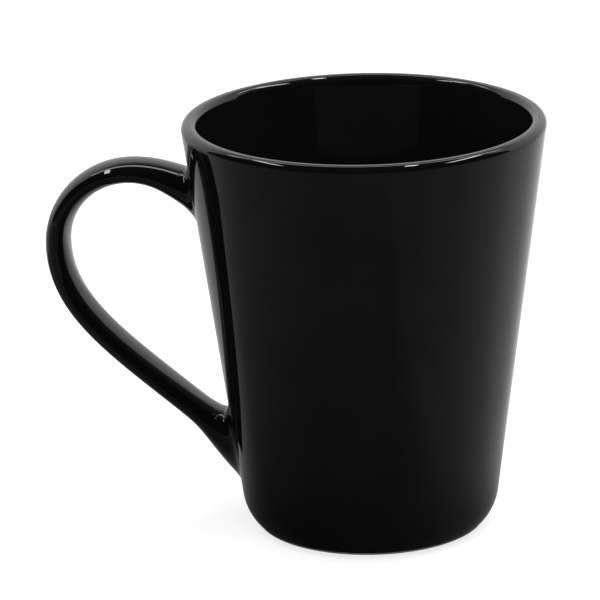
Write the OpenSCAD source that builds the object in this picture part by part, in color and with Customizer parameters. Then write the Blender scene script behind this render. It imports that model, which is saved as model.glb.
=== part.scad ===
// Ceramic mug: a straight-sided tapered cup with one loop handle, glazed all over but for its foot.
// Millimetres. Z runs up the cup's axis, the foot stands on z = 0 and the handle points along -X.
// Fired clay carries four glaze coats, and a collar of joining slip holds each end of the handle.

/* [Cup] */
// Height from the table to the top of the lip
cup_h = 105; // [98:1:112]
// Outer radius of the straight wall, carried on to the height of the lip
rim_r = 45.6; // [44:0.2:47]
// Outer radius of the straight wall, carried down to the table
base_r = 31.4; // [30.5:0.1:32.5]
// Radius of the round between the wall and the foot
corner_r = 12; // [11:0.1:12.6]
// Thickness of the wall, glaze included
wall_t = 4; // [3.9:0.1:4.6]
// Radius of the round on each edge of the lip
lip_r = 1.8; // [1.5:0.05:1.9]
// Thickness of the clay floor over the recess
floor_t = 5.5; // [4.5:0.1:7]
// Radius of the round between the floor and the wall inside the cup
inner_corner_r = 12; // [9:0.5:14]

/* [Foot] */
// Height of the bare clay band under the outer glaze
bare_h = 0.65; // [0.5:0.05:0.9]
// Width of the ring that stands on the table
foot_w = 3.6; // [3:0.1:4.5]
// Depth of the recess inside the foot ring
recess_h = 2; // [1.6:0.1:2.4]

/* [Glaze] */
// Thickness of every glaze coat
glaze_t = 0.35; // [0.3:0.05:0.5]

/* [Handle] */
// Distance from the cup's axis to the middle of the strap at its furthest point
handle_reach = 78.9; // [77:0.1:81]
// Height of that furthest point
handle_mid_z = 70.4; // [69:0.2:72]
// Height at which the strap's middle line meets the wall at the top
top_root_z = 84.3; // [83:0.1:85]
// Height at which the strap's middle line meets the wall at the bottom
low_root_z = 19.1; // [18:0.1:20]
// Width of the strap, glaze included
strap_w = 13; // [12:0.2:14]
// Thickness of the strap, glaze included
strap_t = 6; // [5.6:0.1:6.6]
// Radius of the round where the strap meets the wall
root_fillet = 2.4; // [2:0.1:2.8]
// Thickness of the slip between the strap and the wall
slip_t = 1.2; // [1:0.1:1.6]

/* [Hidden] */
// Angle at which the strap leaves the wall, above level
top_angle = 36.2;
low_angle = 41.1;
// Lengths of the four handles of the strap's two curves
top_pull = 22.2;
mid_pull_up = 15.4;
mid_pull_down = 19.85;
low_pull = 33;
// The strap grows thicker and wider near its ends: extra half size, and the length over which it fades
top_swell = 1.3;
top_fade = 9.2;
low_swell = 3.7;
low_fade = 7;
side_swell = 1.2;
// Distance from the wall over which the strap's sections turn to lie along the wall
turn_len = 7;
// The fillet starts this far below the wall's surface, so it meets the wall at an open angle
fillet_sink = 0.35;
// Below this height over the glazed wall the strap's ends keep one outline
skirt = 0.1;
// How far the strap's ends are carried inside the wall before they are trimmed
root_depth = 2.4;

strap_sides = 24;
curve_steps = 17;
// Sections crowd towards the strap's ends, by this power
crowding = 1.6;
arc_steps = 7;
$fn = 360;

slope = (rim_r - base_r) / cup_h;
lean = atan(slope);
corner_z = 9.2;
corner_centre = base_r + slope * corner_z - corner_r / cos(lean);
// Direction from the corner's centre to the outer glaze's lower edge
bare_angle = -asin((corner_z - bare_h) / corner_r);
lip_mid = rim_r - wall_t / cos(lean) / 2;
floor_z = recess_h + floor_t;

function wall_r(z, depth) = base_r + slope * z - depth / cos(lean);
function inner_r(z, depth) = wall_r(z, wall_t - depth);
function polar(c, r, a) = [c[0] + r * cos(a), c[1] + r * sin(a)];
function arc(c, r, from, to) = [for (i = [0 : arc_steps]) polar(c, r, from + (to - from) * i / arc_steps)];

// Outside of the cup from the bare line up to the lip's crest, at a depth below the glaze's surface
function outside(depth) = concat(
    arc([corner_centre, corner_z], corner_r - depth, bare_angle, -lean),
    arc([wall_r(cup_h - lip_r, lip_r), cup_h - lip_r], lip_r - depth, -lean, 90),
    [[lip_mid, cup_h - depth]]
);

// Inside of the cup from the lip's crest down to the middle of the floor, at a depth below the glaze
function inside(depth) = let (
    bottom = floor_z + glaze_t,
    turn_z = bottom + inner_corner_r
) concat(
    [[lip_mid, cup_h - depth]],
    arc([inner_r(cup_h - lip_r, lip_r), cup_h - lip_r], lip_r - depth, 90, 180 - lean),
    arc([inner_r(turn_z, 0) - inner_corner_r / cos(lean), turn_z], inner_corner_r + depth, -lean, -90),
    [[0, bottom - depth]]
);

// Recess under the cup from its middle out to the ring, at a depth below the clay's surface
foot_r = polar([corner_centre, corner_z], corner_r - glaze_t, bare_angle)[0];
ring_r = foot_r - foot_w;
recess_round = 1.2;
function recess(depth) = concat(
    [[0, recess_h - depth]],
    arc([ring_r - recess_round, recess_h - recess_round], recess_round - depth, 90, 0)
);

foot = [
    [ring_r, 0.4],
    [ring_r + 0.4, 0],
    [foot_r - 0.3, 0],
    [foot_r, 0.3]
];

module lathe(outline) {
    rotate_extrude() polygon(outline);
}

// ---- The strap's middle line: two curves in the plane of the handle, [distance out, height] ----
function along(a, length) = [length * cos(a), length * sin(a)];
top_root = [wall_r(top_root_z, -skirt), top_root_z];
low_root = [wall_r(low_root_z, -skirt), low_root_z];
furthest = [handle_reach, handle_mid_z];

function curve(p, t) =
    pow(1 - t, 3) * p[0] + 3 * pow(1 - t, 2) * t * p[1] + 3 * (1 - t) * t * t * p[2] + t * t * t * p[3];

top_curve = [top_root, top_root + along(top_angle, top_pull), furthest + [0, mid_pull_up], furthest];
low_curve = [furthest, furthest - [0, mid_pull_down], low_root + along(low_angle, low_pull), low_root];

// Height above the glazed wall's surface, measured square to it
function clearance(p) = (p[0] - wall_r(p[1], 0)) * cos(lean);

// Place along a curve that leaves the wall, in steps of its first pull, where it has risen to a height
function rise(p, height, t = 0, tries = 8) =
    tries == 0 ? t : rise(p, height, t + (height - clearance(curve(p, t))) / (3 * clearance(p[1])), tries - 1);

function reversed(list) = [for (i = [len(list) - 1 : -1 : 0]) list[i]];

// The first section lies at the skirt's height, the next on the slip's outer face, and the rest
// spread out along the loop
function places(p) = let (
    slip_end = rise(p, slip_t - glaze_t)
) [0, for (i = [0 : curve_steps - 1]) slip_end + (1 - slip_end) * pow(i / curve_steps, crowding)];

low_curve_up = reversed(low_curve);
middle_line = concat(
    [for (t = places(top_curve)) curve(top_curve, t)],
    [furthest],
    reversed([for (t = places(low_curve_up)) curve(low_curve_up, t)])
);
line_end = len(middle_line) - 1;
steps = [for (i = [1 : line_end]) norm(middle_line[i] - middle_line[i - 1])];
distances = [for (i = 0, run = 0; i <= line_end; run = run + (i < line_end ? steps[i] : 0), i = i + 1) run];
line_length = distances[line_end];

function unit(v) = v / norm(v);
function heading(i) = unit(middle_line[min(i + 1, line_end)] - middle_line[max(i - 1, 0)]);
function bell(x, width) = exp(-pow(x / width, 2));
function smooth(x) = let (u = min(max(x, 0), 1)) u * u * (3 - 2 * u);
function fillet(gap, r) = gap >= r - fillet_sink ? 0 : r - sqrt(r * r - pow(r - gap - fillet_sink, 2));

// One section of the strap: [middle, direction from inner to outer edge, half thickness, half width, nearness]
function section(i, depth) = let (
    p = middle_line[i],
    tangent = heading(i),
    across = [-tangent[1], tangent[0]],
    up_wall = (i < line_end / 2 ? 1 : -1) * [sin(lean), cos(lean)],
    gap = max(clearance(p), 0),
    near = smooth(1 - gap / turn_len),
    side = unit(across * (1 - near) + up_wall * near),
    spread = 1 / (side * across),
    from_top = distances[i],
    from_low = line_length - distances[i],
    swell = top_swell * bell(from_top, top_fade) + low_swell * bell(from_low, low_fade),
    widen = side_swell * (bell(from_top, top_fade) + bell(from_low, low_fade)),
    extra = fillet(gap + depth, root_fillet + depth)
) [p, side, (strap_t / 2 + swell - depth) * spread + extra, strap_w / 2 + widen - depth + extra, near];

// A section's outline, bent round the cup where it nears the wall, and moved in towards the cup's axis
function outline(s, sink = 0) = [
    for (k = [0 : strap_sides - 1]) let (
        a = 360 * k / strap_sides,
        y = s[3] * sin(a),
        p = s[0] + s[1] * s[2] * cos(a),
        bend = s[4] * (p[0] - sqrt(p[0] * p[0] - y * y))
    ) [bend + sink - p[0], y, p[1]]
];

// Outlines from one section to another, at a depth below the glaze's surface
function outlines(depth, from = 0, to = line_end) = [for (i = [from : to]) outline(section(i, depth))];

// Faces of the skin over a row of outlines, the first of which starts at a point's number
function skin(rows, start) = [
    for (i = [0 : rows - 2], k = [0 : strap_sides - 1]) let (
        a = start + i * strap_sides + k,
        b = start + i * strap_sides + (k + 1) % strap_sides
    ) each [[b, a, a + strap_sides], [b, a + strap_sides, b + strap_sides]]
];

function turned(faces) = [for (f = faces) reversed(f)];

// Flat fan over the outline that starts at a point's number
function fan(start) = [for (k = [1 : strap_sides - 2]) [start, start + k, start + k + 1]];

// Solid through a row of outlines
module loft(rings) {
    rows = len(rings);
    points = [for (ring = rings) each ring];
    faces = concat(skin(rows, 0), fan(0), turned(fan((rows - 1) * strap_sides)));
    polyhedron(points = points, faces = faces, convexity = 4);
}

// The same outlines, carried down the skirts onto the glazed wall at both ends
function landed(depth) = concat(
    [outline(section(0, depth), skirt / cos(lean))],
    outlines(depth),
    [outline(section(line_end, depth), skirt / cos(lean))]
);

// Pipe between two rows of outlines, open at both ends
module pipe(outer, inner) {
    rows = len(outer);
    half = rows * strap_sides;
    points = [for (ring = concat(outer, inner)) each ring];
    last = half - strap_sides;
    rims = [
        for (k = [0 : strap_sides - 1]) let (n = (k + 1) % strap_sides) each [
            [k, n, half + k], [n, half + n, half + k],
            [last + n, last + k, half + last + k], [last + n, half + last + k, half + last + n]
        ]
    ];
    faces = concat(skin(rows, 0), turned(skin(rows, half)), rims);
    polyhedron(points = points, faces = faces, convexity = 6);
}

// Solid cone that fills the cup out to the clay's surface
module clay_cone() {
    cylinder(h = cup_h, r1 = wall_r(0, glaze_t), r2 = wall_r(cup_h, glaze_t));
}

// Root of the strap, from inside the wall out to the slip's outer face
module top_plug() {
    loft(concat([outline(section(0, glaze_t), root_depth)], outlines(glaze_t, 0, 1)));
}

module low_plug() {
    last = section(line_end, glaze_t);
    loft(concat(outlines(glaze_t, line_end - 1, line_end), [outline(last, root_depth)]));
}

module cup_body() {
    color("#b9aa94") lathe(concat(recess(0), foot, outside(glaze_t), inside(glaze_t)));
}

module handle() {
    color("#b9aa94") loft(outlines(glaze_t, 1, line_end - 1));
}

module upper_slip_joint() {
    color("#a3947f") difference() {
        top_plug();
        clay_cone();
    }
}

module lower_slip_joint() {
    color("#a3947f") difference() {
        low_plug();
        clay_cone();
    }
}

module outer_glaze() {
    color("#101010") difference() {
        lathe(concat(outside(0), reversed(outside(glaze_t))));
        top_plug();
        low_plug();
    }
}

module liner_glaze() {
    color("#101010") lathe(concat(inside(0), reversed(inside(glaze_t))));
}

module handle_glaze() {
    color("#101010") pipe(landed(0), landed(glaze_t));
}

module base_glaze() {
    color("#101010") lathe(concat(recess(0), reversed(recess(glaze_t))));
}

cup_body();
handle();
upper_slip_joint();
lower_slip_joint();
outer_glaze();
liner_glaze();
handle_glaze();
base_glaze();
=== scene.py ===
"""Black glazed ceramic mug on a pale floor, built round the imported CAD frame."""

import math

import bmesh
import bpy
from mathutils import Matrix, Vector


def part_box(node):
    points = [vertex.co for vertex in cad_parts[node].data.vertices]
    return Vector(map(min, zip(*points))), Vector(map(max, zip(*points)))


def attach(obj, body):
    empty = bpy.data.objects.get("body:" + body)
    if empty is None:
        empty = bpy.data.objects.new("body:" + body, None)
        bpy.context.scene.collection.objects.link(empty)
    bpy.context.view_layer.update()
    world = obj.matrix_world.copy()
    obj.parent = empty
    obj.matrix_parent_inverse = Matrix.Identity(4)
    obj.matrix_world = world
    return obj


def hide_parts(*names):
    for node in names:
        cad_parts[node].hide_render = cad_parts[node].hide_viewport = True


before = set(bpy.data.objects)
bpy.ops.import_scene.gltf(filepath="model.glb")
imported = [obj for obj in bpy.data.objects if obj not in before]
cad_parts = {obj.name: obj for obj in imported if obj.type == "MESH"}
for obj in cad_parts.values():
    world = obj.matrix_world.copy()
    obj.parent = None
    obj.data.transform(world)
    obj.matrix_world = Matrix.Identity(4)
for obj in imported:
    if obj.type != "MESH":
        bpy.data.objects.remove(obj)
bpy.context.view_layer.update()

MM = 0.001
WHITE = (1.0, 1.0, 1.0, 1.0)
MERGE_DISTANCE = 1e-7

# ---------------------------------------------------------------- sizes, in millimetres
outer_low, outer_high = (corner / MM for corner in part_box("outer_glaze"))
strap_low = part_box("handle_glaze")[0] / MM

cup_h = outer_high.z
glaze_t = cup_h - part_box("cup_body")[1].z / MM
rim_r = 45.6
base_r = 31.4
corner_r = 12.0
corner_z = 9.2
wall_t = 4.0
lip_r = 1.8
bare_h = outer_low.z
foot_w = 3.6
recess_h = 2.0
recess_round = 1.2
ring_inner_round = 0.6
ring_outer_round = 0.45
floor_t = 5.5
inner_corner_r = 12.0

strap_w = 13.0
strap_t = 6.0
handle_reach = -strap_low.x - strap_t / 2
handle_mid_z = 70.4
top_root_z = 84.3
low_root_z = 19.1
top_angle = math.radians(36.2)
low_angle = math.radians(41.1)
top_pull = 22.2
mid_pull_up = 15.4
mid_pull_down = 19.85
low_pull = 33.0
top_swell = 1.3
top_fade = 9.2
low_swell = 3.7
low_fade = 7.0
side_swell = 1.2
turn_len = 7.0

slope = (rim_r - base_r) / cup_h
lean = math.atan(slope)
corner_centre = base_r + slope * corner_z - corner_r / math.cos(lean)
bare_angle = -math.asin((corner_z - bare_h) / corner_r)
lip_mid = rim_r - wall_t / math.cos(lean) / 2
floor_z = recess_h + floor_t + glaze_t


# ---------------------------------------------------------------- outlines of the cup, as (radius, height)
# A depth is measured square to the glaze's surface: 0 is the surface and glaze_t is the clay under it.
def wall_r(z, depth=0.0):
    """Radius of the straight outer wall at a height, at a depth below the glaze's surface."""
    return base_r + slope * z - depth / math.cos(lean)


def inner_r(z, depth=0.0):
    """Radius of the straight inner wall at a height, at a depth below the glaze's surface."""
    return wall_r(z, wall_t - depth)


def arc(centre, radius, start, end, steps):
    """Points along an arc between two directions, in radians."""
    turns = [start + (end - start) * i / steps for i in range(steps + 1)]
    return [(centre[0] + radius * math.cos(a), centre[1] + radius * math.sin(a)) for a in turns]


def line(start, end, steps):
    """Points between two ends, without the ends."""
    shares = [i / steps for i in range(1, steps)]
    return [tuple(a + (b - a) * t for a, b in zip(start, end)) for t in shares]


def outside(depth):
    """The cup's outside from the glaze's lower edge up to the lip's crest."""
    lower = arc((corner_centre, corner_z), corner_r - depth, bare_angle, -lean, 24)
    lip_z = cup_h - lip_r
    upper = arc((wall_r(lip_z, lip_r), lip_z), lip_r - depth, -lean, math.pi / 2, 20)
    crest = (lip_mid, cup_h - depth)
    return lower + line(lower[-1], upper[0], 40) + upper + line(upper[-1], crest, 4) + [crest]


def inside(depth):
    """The cup's inside from the lip's crest down to the middle of the floor."""
    lip_z = cup_h - lip_r
    turn_z = floor_z + inner_corner_r
    turn_r = inner_r(turn_z) - inner_corner_r / math.cos(lean)
    crest = (lip_mid, cup_h - depth)
    upper = arc((inner_r(lip_z, lip_r), lip_z), lip_r - depth, math.pi / 2, math.pi - lean, 20)
    lower = arc((turn_r, turn_z), inner_corner_r + depth, -lean, -math.pi / 2, 28)
    middle = (0.0, floor_z - depth)
    return (
        [crest] + line(crest, upper[0], 4) + upper + line(upper[-1], lower[0], 40)
        + lower + line(lower[-1], middle, 12) + [middle]
    )


foot_r = corner_centre + (corner_r - glaze_t) * math.cos(bare_angle)
ring_r = foot_r - foot_w


def recess(depth):
    """The recess under the cup from its middle out to the ring."""
    middle = (0.0, recess_h - depth)
    edge = arc((ring_r - recess_round, recess_h - recess_round), recess_round - depth, math.pi / 2, 0, 12)
    return [middle] + line(middle, edge[0], 14) + edge


def foot():
    """The bare ring from the recess's edge, across the face that stands on the floor, to the glaze."""
    inner_centre = (ring_r + ring_inner_round, ring_inner_round)
    outer_centre = (foot_r - ring_outer_round, ring_outer_round)
    inner = arc(inner_centre, ring_inner_round, math.pi, 1.5 * math.pi, 8)
    outer = arc(outer_centre, ring_outer_round, 1.5 * math.pi, 2 * math.pi, 8)
    return inner + line(inner[-1], outer[0], 8) + outer


# ---------------------------------------------------------------- mesh making
def make_object(name, points, faces, sharp_angle=math.radians(40)):
    """A smooth-shaded object from points in millimetres. Edges sharper than the angle stay crisp."""
    mesh = bpy.data.meshes.new(name)
    mesh.from_pydata([Vector(p) * MM for p in points], [], faces)
    work = bmesh.new()
    work.from_mesh(mesh)
    bmesh.ops.remove_doubles(work, verts=work.verts, dist=MERGE_DISTANCE)
    bmesh.ops.recalc_face_normals(work, faces=work.faces)
    for edge in work.edges:
        if len(edge.link_faces) == 2 and edge.calc_face_angle() > sharp_angle:
            edge.smooth = False
    for face in work.faces:
        face.smooth = True
    work.to_mesh(mesh)
    work.free()
    obj = bpy.data.objects.new(name, mesh)
    bpy.context.scene.collection.objects.link(obj)
    return obj


def lathe(name, outline, turns=288):
    """A closed outline turned round the Z axis. Points on the axis become poles."""
    points = []
    for r, z in outline:
        for i in range(turns):
            a = 2 * math.pi * i / turns
            points.append((r * math.cos(a), r * math.sin(a), z))
    faces = []
    for j in range(len(outline)):
        k = (j + 1) % len(outline)
        low_r, high_r = outline[j][0], outline[k][0]
        if low_r < 1e-6 and high_r < 1e-6:
            continue
        for i in range(turns):
            n = (i + 1) % turns
            quad = [j * turns + i, j * turns + n, k * turns + n, k * turns + i]
            if low_r < 1e-6:
                quad = [quad[0], quad[2], quad[3]]
            elif high_r < 1e-6:
                quad = [quad[0], quad[1], quad[2]]
            faces.append(quad)
    return make_object(name, points, faces)


# ---------------------------------------------------------------- the handle's sweep
# Points here are (distance out from the cup's axis, height), in the plane of the handle.
def bezier(p, t):
    """Point on a cubic curve with four control points, at a place from 0 to 1."""
    a, b, c, d = (1 - t) ** 3, 3 * (1 - t) ** 2 * t, 3 * (1 - t) * t * t, t ** 3
    return Vector((
        a * p[0][0] + b * p[1][0] + c * p[2][0] + d * p[3][0],
        a * p[0][1] + b * p[1][1] + c * p[2][1] + d * p[3][1],
    ))


def along(angle, length):
    """A step of a length at an angle above level."""
    return Vector((length * math.cos(angle), length * math.sin(angle)))


top_root = Vector((wall_r(top_root_z), top_root_z))
low_root = Vector((wall_r(low_root_z), low_root_z))
furthest = Vector((handle_reach, handle_mid_z))
top_curve = [
    top_root,
    top_root + along(top_angle, top_pull),
    furthest + Vector((0, mid_pull_up)),
    furthest,
]
low_curve = [
    low_root,
    low_root + along(low_angle, low_pull),
    furthest - Vector((0, mid_pull_down)),
    furthest,
]


def clearance(p):
    """Height above the glazed wall's surface, measured square to it."""
    return (p.x - wall_r(p.y)) * math.cos(lean)


FIRST_RISE = 0.4    # the curves only climb away from the wall up to this place
HALVINGS = 40
CROWDING = 1.25     # rings crowd towards the roots by this power


def rise(curve, height):
    """Place along a curve where it has risen to a height over the wall."""
    low, high = 0.0, FIRST_RISE
    for _ in range(HALVINGS):
        middle = (low + high) / 2
        if clearance(bezier(curve, middle)) < height:
            low = middle
        else:
            high = middle
    return (low + high) / 2


def places(curve, first_height, root_steps, loop_steps):
    """Places along a curve: close together in the fillet's height, then spread along the loop."""
    heights = [first_height * (1 - math.cos(math.pi / 2 * i / root_steps)) for i in range(root_steps + 1)]
    near = [rise(curve, h) for h in heights]
    far = [near[-1] + (1 - near[-1]) * (i / loop_steps) ** CROWDING for i in range(1, loop_steps + 1)]
    return near + far


def smooth(x):
    """Eased step from 0 to 1."""
    u = min(max(x, 0.0), 1.0)
    return u * u * (3 - 2 * u)


def bell(x, width):
    """Bell curve: 1 at 0, and next to nothing past twice the width."""
    return math.exp(-((x / width) ** 2))


# radii of the rounds between the strap and the wall
TOP_ROUND = {"over": 4.0, "under": 3.0, "side": 2.4}
LOW_ROUND = {"over": 0.9, "under": 1.6, "side": 2.4}
WIDEST_ROUND = 4.0


def fillet_radius(rounds, turn):
    """The round's radius at a turn about the strap: over it, under it, or beside it."""
    c = math.cos(turn)
    edge = rounds["over"] if c > 0 else rounds["under"]
    return rounds["side"] + (edge - rounds["side"]) * c * c


def fillet(gap, radius):
    """How far a round spreads the strap's outline at a height over the wall."""
    return 0.0 if gap >= radius else radius - math.sqrt(radius * radius - (radius - gap) ** 2)


def strap_rings(depth, sides=96, root_steps=14, loop_steps=60):
    """Outlines of the strap from its upper root to its lower root, at a depth below the glaze."""
    top = [bezier(top_curve, t) for t in places(top_curve, WIDEST_ROUND, root_steps, loop_steps)]
    low = [bezier(low_curve, t) for t in places(low_curve, WIDEST_ROUND, root_steps, loop_steps)]
    middle_line = top + low[-2::-1]
    count = len(middle_line)
    run = [0.0]
    for a, b in zip(middle_line, middle_line[1:]):
        run.append(run[-1] + (b - a).length)
    rings = []
    for i, p in enumerate(middle_line):
        ahead = middle_line[min(i + 1, count - 1)]
        behind = middle_line[max(i - 1, 0)]
        tangent = (ahead - behind).normalized()
        across = Vector((-tangent.y, tangent.x))
        upper = i < count / 2
        rounds = TOP_ROUND if upper else LOW_ROUND
        up_wall = Vector((math.sin(lean), math.cos(lean))) * (1 if upper else -1)
        gap = max(clearance(p), 0.0)
        near = smooth(1 - gap / turn_len)
        side = (across * (1 - near) + up_wall * near).normalized()
        spread = 1 / side.dot(across)
        from_top, from_low = run[i], run[-1] - run[i]
        swell = top_swell * bell(from_top, top_fade) + low_swell * bell(from_low, low_fade)
        widen = side_swell * (bell(from_top, top_fade) + bell(from_low, low_fade))
        half_t = (strap_t / 2 + swell - depth) * spread
        half_w = strap_w / 2 + widen - depth
        ring = []
        for k in range(sides):
            turn = 2 * math.pi * k / sides
            extra = fillet(gap, fillet_radius(rounds, turn))
            y = (half_w + extra) * math.sin(turn)
            q = p + side * (half_t + extra) * math.cos(turn)
            bend = near * (q.x - math.sqrt(q.x * q.x - y * y))
            ring.append((bend - q.x, y, q.y))
        rings.append(ring)
    return rings


def sunk(ring, distance):
    """The same outline moved into the cup's wall."""
    return [(x + distance, y, z) for x, y, z in ring]


def pipe(name, outer, inner):
    """A closed pipe with one skin through the outer rings and one through the inner rings."""
    sides, rows = len(outer[0]), len(outer)
    points = [p for ring in outer + inner for p in ring]
    half = rows * sides
    faces = []
    for i in range(rows - 1):
        for k in range(sides):
            n = (k + 1) % sides
            a, b = i * sides + k, i * sides + n
            faces.append([a, b, b + sides, a + sides])
            faces.append([half + b, half + a, half + a + sides, half + b + sides])
    last = half - sides
    for k in range(sides):
        n = (k + 1) % sides
        faces.append([k, half + k, half + n, n])
        faces.append([last + n, half + last + n, half + last + k, last + k])
    return make_object(name, points, faces, math.radians(50))


# ---------------------------------------------------------------- materials
def new_material(name):
    """A material with its nodes, its links and its main shader."""
    mat = bpy.data.materials.new(name)
    mat.use_nodes = True
    nodes, links = mat.node_tree.nodes, mat.node_tree.links
    return mat, nodes, links, nodes["Principled BSDF"]


def noise_node(nodes, links, coords, scale, detail, rough=0.5):
    """Noise over the object's own coordinates."""
    node = nodes.new("ShaderNodeTexNoise")
    node.inputs["Scale"].default_value = scale
    node.inputs["Detail"].default_value = detail
    node.inputs["Roughness"].default_value = rough
    links.new(coords.outputs["Object"], node.inputs["Vector"])
    return node


def ramp_node(nodes, links, source, stops):
    """Colours by a value, from stops of (value, colour)."""
    node = nodes.new("ShaderNodeValToRGB")
    ramp = node.color_ramp
    while len(ramp.elements) < len(stops):
        ramp.elements.new(0.5)
    for element, (place, colour) in zip(ramp.elements, stops):
        element.position = place
        element.color = (*colour, 1.0)
    links.new(source, node.inputs["Fac"])
    return node


def range_node(nodes, links, source, from_low, from_high, to_low, to_high):
    """A value carried over from one range to another, and held at its ends."""
    node = nodes.new("ShaderNodeMapRange")
    node.inputs["From Min"].default_value = from_low
    node.inputs["From Max"].default_value = from_high
    node.inputs["To Min"].default_value = to_low
    node.inputs["To Max"].default_value = to_high
    links.new(source, node.inputs["Value"])
    return node


def glaze_material(name, low, high):
    """Deep black gloss glaze, with faint clouds between two greys and a barely rippled surface."""
    mat, nodes, links, shader = new_material(name)
    coords = nodes.new("ShaderNodeTexCoord")
    clouds = noise_node(nodes, links, coords, 60, 4, 0.6)
    tint = ramp_node(nodes, links, clouds.outputs["Fac"], [
        (0.3, (low, low, low)),
        (0.7, (high, high, high)),
    ])
    links.new(tint.outputs["Color"], shader.inputs["Base Color"])
    sheen = noise_node(nodes, links, coords, 140, 3)
    rough = range_node(nodes, links, sheen.outputs["Fac"], 0.3, 0.7, 0.02, 0.04)
    links.new(rough.outputs["Result"], shader.inputs["Roughness"])
    ripple = noise_node(nodes, links, coords, 90, 2, 0.4)
    bump = nodes.new("ShaderNodeBump")
    bump.inputs["Strength"].default_value = 0.12
    bump.inputs["Distance"].default_value = 0.00003
    links.new(ripple.outputs["Fac"], bump.inputs["Height"])
    links.new(bump.outputs["Normal"], shader.inputs["Normal"])
    shader.inputs["IOR"].default_value = 1.5
    return mat


def clay_material(name, pale, dark):
    """Bare fired clay: matt, grainy, with dark specks."""
    mat, nodes, links, shader = new_material(name)
    coords = nodes.new("ShaderNodeTexCoord")
    clouds = noise_node(nodes, links, coords, 500, 6, 0.65)
    tint = ramp_node(nodes, links, clouds.outputs["Fac"], [(0.3, dark), (0.65, pale)])
    grain = noise_node(nodes, links, coords, 5200, 2)
    specks = range_node(nodes, links, grain.outputs["Fac"], 0.64, 0.7, 1.0, 0.45)
    mix = nodes.new("ShaderNodeMix")
    mix.data_type = "RGBA"
    mix.blend_type = "MULTIPLY"
    mix.inputs["Factor"].default_value = 1.0
    links.new(tint.outputs["Color"], mix.inputs["A"])
    links.new(specks.outputs["Result"], mix.inputs["B"])
    links.new(mix.outputs["Result"], shader.inputs["Base Color"])
    rough = range_node(nodes, links, clouds.outputs["Fac"], 0.3, 0.7, 0.75, 0.92)
    links.new(rough.outputs["Result"], shader.inputs["Roughness"])
    bump = nodes.new("ShaderNodeBump")
    bump.inputs["Strength"].default_value = 0.5
    bump.inputs["Distance"].default_value = 0.0001
    links.new(grain.outputs["Fac"], bump.inputs["Height"])
    links.new(bump.outputs["Normal"], shader.inputs["Normal"])
    return mat


outer_look = glaze_material("black_glaze_outside", 0.0024, 0.0036)
liner_look = glaze_material("black_glaze_inside", 0.0052, 0.0074)
clay_look = clay_material("bare_clay", (0.16, 0.157, 0.152), (0.09, 0.088, 0.085))
strap_look = clay_material("strap_clay", (0.30, 0.285, 0.265), (0.17, 0.16, 0.15))
slip_look = clay_material("joining_slip", (0.26, 0.25, 0.235), (0.15, 0.145, 0.135))


def finish_piece(obj, look, slot, *nodes):
    """Gives a piece its look and its body, and lets it stand for its CAD nodes. The slot argument is not
    used.
    """
    obj.data.materials.clear()
    obj.data.materials.append(look)
    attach(obj, "root")
    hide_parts(*nodes)


# ---------------------------------------------------------------- the pieces
outer_coat = lathe("outer_glaze_coat", outside(0) + outside(glaze_t)[::-1])
finish_piece(outer_coat, outer_look, "outer_glaze", "outer_glaze")

liner_coat = lathe("liner_glaze_coat", inside(0) + inside(glaze_t)[::-1])
finish_piece(liner_coat, liner_look, "liner_glaze", "liner_glaze")

base_coat = lathe("base_glaze_coat", recess(0) + recess(glaze_t)[::-1])
finish_piece(base_coat, liner_look, "liner_glaze", "base_glaze")

clay_cup = lathe("clay_cup", recess(0) + foot() + outside(glaze_t) + inside(glaze_t))
finish_piece(clay_cup, clay_look, "bare_clay", "cup_body")

outer_rings = strap_rings(0)
inner_rings = strap_rings(glaze_t)
handle_coat = pipe(
    "handle_glaze_coat",
    [sunk(outer_rings[0], 0.1)] + outer_rings + [sunk(outer_rings[-1], 0.1)],
    [sunk(inner_rings[0], 0.1)] + inner_rings + [sunk(inner_rings[-1], 0.1)],
)
finish_piece(handle_coat, outer_look, "outer_glaze", "handle_glaze")

# the CAD's own solids serve as the strap's clay and its slip, which the glaze hides
hidden_looks = {
    "handle": strap_look,
    "upper_slip_joint": slip_look,
    "lower_slip_joint": slip_look,
}
for node, look in hidden_looks.items():
    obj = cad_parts[node]
    obj.data.materials.clear()
    obj.data.materials.append(look)

# ---------------------------------------------------------------- camera
CAMERA_TURN = math.radians(9.5)
CAMERA_RISE = math.radians(17.87)
CAMERA_ROLL = math.radians(-1.37)
CAMERA_DISTANCE = 1.1
CAMERA_LENS = 262.56
AIM_SIDE = -0.01685
AIM_HEIGHT = 0.0579

camera_turn = Matrix.Rotation(CAMERA_TURN, 3, "Z")
centre = Vector((0, 0, cup_h * MM / 2))
flat, up = math.cos(CAMERA_RISE), math.sin(CAMERA_RISE)
camera_place = centre + camera_turn @ Vector((0, -flat, up)) * CAMERA_DISTANCE
aim = camera_turn @ Vector((AIM_SIDE, 0, AIM_HEIGHT))
forward = (aim - camera_place).normalized()
level = forward.cross(Vector((0, 0, 1))).normalized()
upright = level.cross(forward)
right = level * math.cos(CAMERA_ROLL) + upright * math.sin(CAMERA_ROLL)
above = upright * math.cos(CAMERA_ROLL) - level * math.sin(CAMERA_ROLL)

camera = bpy.data.objects.new("camera", bpy.data.cameras.new("camera"))
camera.data.lens = CAMERA_LENS
camera.data.sensor_width = 36
camera.data.clip_end = 20
camera.matrix_world = Matrix((
    (right.x, above.x, -forward.x, camera_place.x),
    (right.y, above.y, -forward.y, camera_place.y),
    (right.z, above.z, -forward.z, camera_place.z),
    (0, 0, 0, 1),
))
bpy.context.scene.collection.objects.link(camera)
bpy.context.scene.camera = camera
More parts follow.
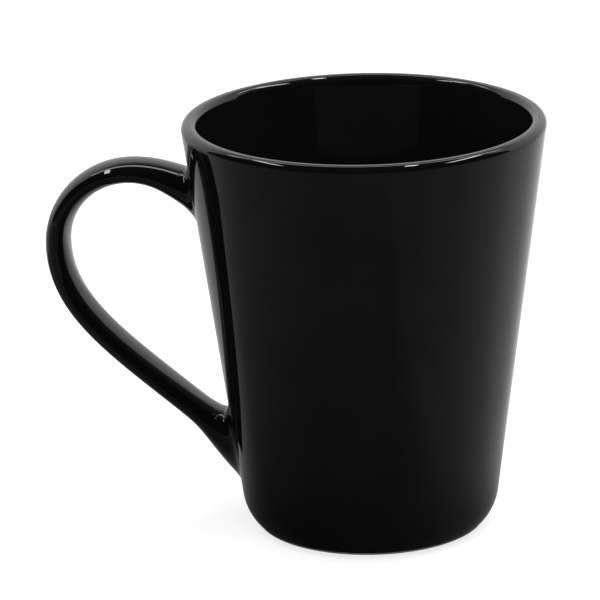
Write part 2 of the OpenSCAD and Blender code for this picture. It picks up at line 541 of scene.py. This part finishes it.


# ---------------------------------------------------------------- floor, painted reflection cards and light
def flat_plane(name, size, height):
    """A level square, centred under the mug, in metres."""
    mesh = bpy.data.meshes.new(name)
    half = size / 2
    corners = [(-half, -half, height), (half, -half, height), (half, half, height), (-half, half, height)]
    mesh.from_pydata(corners, [], [(0, 1, 2, 3)])
    obj = bpy.data.objects.new(name, mesh)
    bpy.context.scene.collection.objects.link(obj)
    return obj


FLOOR_SIZE = 30.0
FLOOR_Z = -0.0002
PATCH_Z = -0.0003
TABLE_Z = -0.0004

ground = flat_plane("floor", FLOOR_SIZE, FLOOR_Z)
ground_look, _, _, shader = new_material("pale_floor")
shader.inputs["Base Color"].default_value = (0.4, 0.4, 0.4, 1)
shader.inputs["Roughness"].default_value = 0.9
shader.inputs["Emission Color"].default_value = WHITE
shader.inputs["Emission Strength"].default_value = 0.75
shader.inputs["Specular IOR Level"].default_value = 0.0
ground.data.materials.append(ground_look)
ground.visible_glossy = False


def only_mirrored(obj):
    """Turns a glowing card round with the camera, and lets it show in reflections alone."""
    obj.rotation_euler = (0, 0, CAMERA_TURN)
    obj.visible_camera = False
    obj.visible_diffuse = False
    obj.visible_shadow = False


def glow_material(name):
    """An evenly glowing material, with the object's coordinates ready to shade it."""
    mat = bpy.data.materials.new(name)
    mat.use_nodes = True
    nodes, links = mat.node_tree.nodes, mat.node_tree.links
    nodes.clear()
    coords = nodes.new("ShaderNodeTexCoord")
    split = nodes.new("ShaderNodeSeparateXYZ")
    links.new(coords.outputs["Object"], split.inputs["Vector"])
    glow = nodes.new("ShaderNodeEmission")
    out = nodes.new("ShaderNodeOutputMaterial")
    links.new(glow.outputs[0], out.inputs["Surface"])
    return mat, nodes, links, coords, split, glow


def bearing_ramp(nodes, links, split, greys):
    """Greys by bearing about the mug: 0 towards the camera, positive on the right, 180 straight behind."""
    flip = nodes.new("ShaderNodeMath")
    flip.operation = "MULTIPLY"
    flip.inputs[1].default_value = -1.0
    links.new(split.outputs["Y"], flip.inputs[0])
    bearing = nodes.new("ShaderNodeMath")
    bearing.operation = "ARCTAN2"
    links.new(split.outputs["X"], bearing.inputs[0])
    links.new(flip.outputs[0], bearing.inputs[1])
    share = range_node(nodes, links, bearing.outputs[0], -math.pi, math.pi, 0.0, 1.0)
    stops = [((turn + 180) / 360, (grey, grey, grey)) for turn, grey in greys]
    return ramp_node(nodes, links, share.outputs["Result"], stops)


def brighter(nodes, links, one, other):
    """The greater of two values."""
    node = nodes.new("ShaderNodeMath")
    node.operation = "MAXIMUM"
    links.new(one.outputs[0], node.inputs[0])
    links.new(other.outputs[0], node.inputs[1])
    return node


# painted reflection: glow of the mirrored table by bearing, in degrees
TABLE_REFLECTION_GLOW = [
    (-180, 0.95), (-162, 0.62), (-146, 0.50), (-118, 0.37), (-81, 0.18), (-30, 0.11), (30, 0.12),
    (60, 0.20), (88, 0.36), (102, 0.50), (125, 0.58), (141, 0.75), (152, 0.85), (163, 1.05), (180, 0.95),
]

# painted shade of the mug on the mirrored table in front of it: share of the glow by distance from the
# axis, in metres
SHADE_REACH = 0.30
SHADE_GREYS = [
    (0.03, 0.0), (0.045, 0.10), (0.06, 0.26), (0.10, 0.50), (0.14, 0.63), (0.18, 0.76), (0.30, 1.0),
]


def painted_table_reflection():
    """A glowing card seen only in reflections, a painted reflection of the table below the horizon: dim
    towards the camera and bright behind.
    """
    table = flat_plane("painted_table_reflection", FLOOR_SIZE, TABLE_Z)
    mat, nodes, links, coords, split, glow = glow_material("painted_table_reflection")
    around = bearing_ramp(nodes, links, split, TABLE_REFLECTION_GLOW)
    # painted shade: the glow dims near the mug's foot, but not behind it or on its right
    length = nodes.new("ShaderNodeVectorMath")
    length.operation = "LENGTH"
    links.new(coords.outputs["Object"], length.inputs[0])
    share = range_node(nodes, links, length.outputs["Value"], 0.0, SHADE_REACH, 0.0, 1.0)
    stops = [(r / SHADE_REACH, (g, g, g)) for r, g in SHADE_GREYS]
    near = ramp_node(nodes, links, share.outputs["Result"], stops)
    back = range_node(nodes, links, split.outputs["Y"], -0.03, 0.05, 0.0, 1.0)
    side = range_node(nodes, links, split.outputs["X"], 0.0, 0.06, 0.0, 1.0)
    shade = brighter(nodes, links, brighter(nodes, links, near, back), side)
    links.new(around.outputs["Color"], glow.inputs["Color"])
    links.new(shade.outputs[0], glow.inputs["Strength"])
    table.data.materials.append(mat)
    only_mirrored(table)


def painted_shade_patch(name, corners):
    """A painted patch of shade on the mirrored table: a black card seen only in reflections. Corners are
    in millimetres: X right, Y away.
    """
    mesh = bpy.data.meshes.new(name)
    mesh.from_pydata([(x * MM, y * MM, PATCH_Z) for x, y in corners], [], [range(len(corners))])
    obj = bpy.data.objects.new(name, mesh)
    bpy.context.scene.collection.objects.link(obj)
    mat, _, _, _, _, glow = glow_material(name)
    glow.inputs["Strength"].default_value = 0.0
    obj.data.materials.append(mat)
    only_mirrored(obj)


# painted reflection: glow of the mirrored backdrop by height, in metres
BACKDROP_REFLECTION_GLOW = [
    (0.0, 0.75), (0.25, 0.75), (0.50, 0.88), (1.15, 0.90), (1.37, 0.62), (1.60, 0.28), (1.85, 0.20),
]


def painted_backdrop_reflection(radius=1.5, height=1.9, left=68, right=80, steps=32):
    """A glowing sweep behind the mug seen only in reflections, a painted reflection of a lit backdrop: a
    curved wall that fades towards its top.
    """
    points, faces = [], []
    for i in range(steps + 1):
        turn = math.radians(-left + (left + right) * i / steps)
        x, y = radius * math.sin(turn), radius * math.cos(turn)
        points += [(x, y, 0), (x, y, height)]
    for i in range(steps):
        faces.append((2 * i, 2 * i + 1, 2 * i + 3, 2 * i + 2))
    mesh = bpy.data.meshes.new("painted_backdrop_reflection")
    mesh.from_pydata(points, [], faces)
    obj = bpy.data.objects.new("painted_backdrop_reflection", mesh)
    bpy.context.scene.collection.objects.link(obj)
    mat, nodes, links, _, split, glow = glow_material("painted_backdrop_reflection")
    level = range_node(nodes, links, split.outputs["Z"], 0.0, height, 0.0, 1.0)
    stops = [(z / height, (g, g, g)) for z, g in BACKDROP_REFLECTION_GLOW]
    fade = ramp_node(nodes, links, level.outputs["Result"], stops)
    links.new(fade.outputs["Color"], glow.inputs["Color"])
    obj.data.materials.append(mat)
    only_mirrored(obj)


painted_table_reflection()
painted_backdrop_reflection()
# painted shade of the handle on the mirrored table
painted_shade_patch("handle_shade", [
    (-60, 28), (-222, 62), (-262, 104), (-250, 160), (-130, 100), (-60, 62),
])


def soft_light(name, place, size, power, aim_at=(0, 0, 0.05), glossy=True):
    """A soft box at a place in the camera's own frame: X right, Y away, Z up."""
    data = bpy.data.lights.new(name, "AREA")
    data.shape = "RECTANGLE"
    data.size, data.size_y = size
    data.energy = power
    obj = bpy.data.objects.new(name, data)
    obj.location = camera_turn @ Vector(place)
    obj.rotation_mode = "QUATERNION"
    obj.rotation_quaternion = (Vector(aim_at) - obj.location).to_track_quat("-Z", "Y")
    obj.visible_glossy = glossy
    bpy.context.scene.collection.objects.link(obj)
    return obj


soft_light("right_strip", (0.90, 0.10, 1.35), (0.80, 0.12), 5)
soft_light("middle_strip", (0.36, 0.05, 1.50), (0.26, 0.10), 2)
soft_light("left_strip", (-0.80, 0.15, 1.35), (0.70, 0.12), 3)
soft_light("long_bar", (0.0, 0.74, 1.42), (2.6, 0.22), 6)
soft_light("floor_wash", (0, 0, 3.0), (3.0, 3.0), 75, glossy=False)

world = bpy.data.worlds.new("studio")
world.use_nodes = True
bpy.context.scene.world = world
nodes, links = world.node_tree.nodes, world.node_tree.links
nodes.clear()
path = nodes.new("ShaderNodeLightPath")
out = nodes.new("ShaderNodeOutputWorld")


def sky(strength):
    """Even white light of a strength."""
    node = nodes.new("ShaderNodeBackground")
    node.inputs["Color"].default_value = WHITE
    node.inputs["Strength"].default_value = strength
    return node


def either(test, when_no, when_yes):
    """One of two shaders, by a test of the ray."""
    node = nodes.new("ShaderNodeMixShader")
    links.new(path.outputs[test], node.inputs["Fac"])
    links.new(when_no.outputs[0], node.inputs[1])
    links.new(when_yes.outputs[0], node.inputs[2])
    return node


# the room lights the scene evenly, is dark in reflections, and is a white backdrop for the camera
unlit = either("Is Glossy Ray", sky(0.35), sky(0.0))
seen = either("Is Camera Ray", unlit, sky(1.0))
links.new(seen.outputs[0], out.inputs["Surface"])

bpy.context.scene.view_settings.view_transform = "Standard"
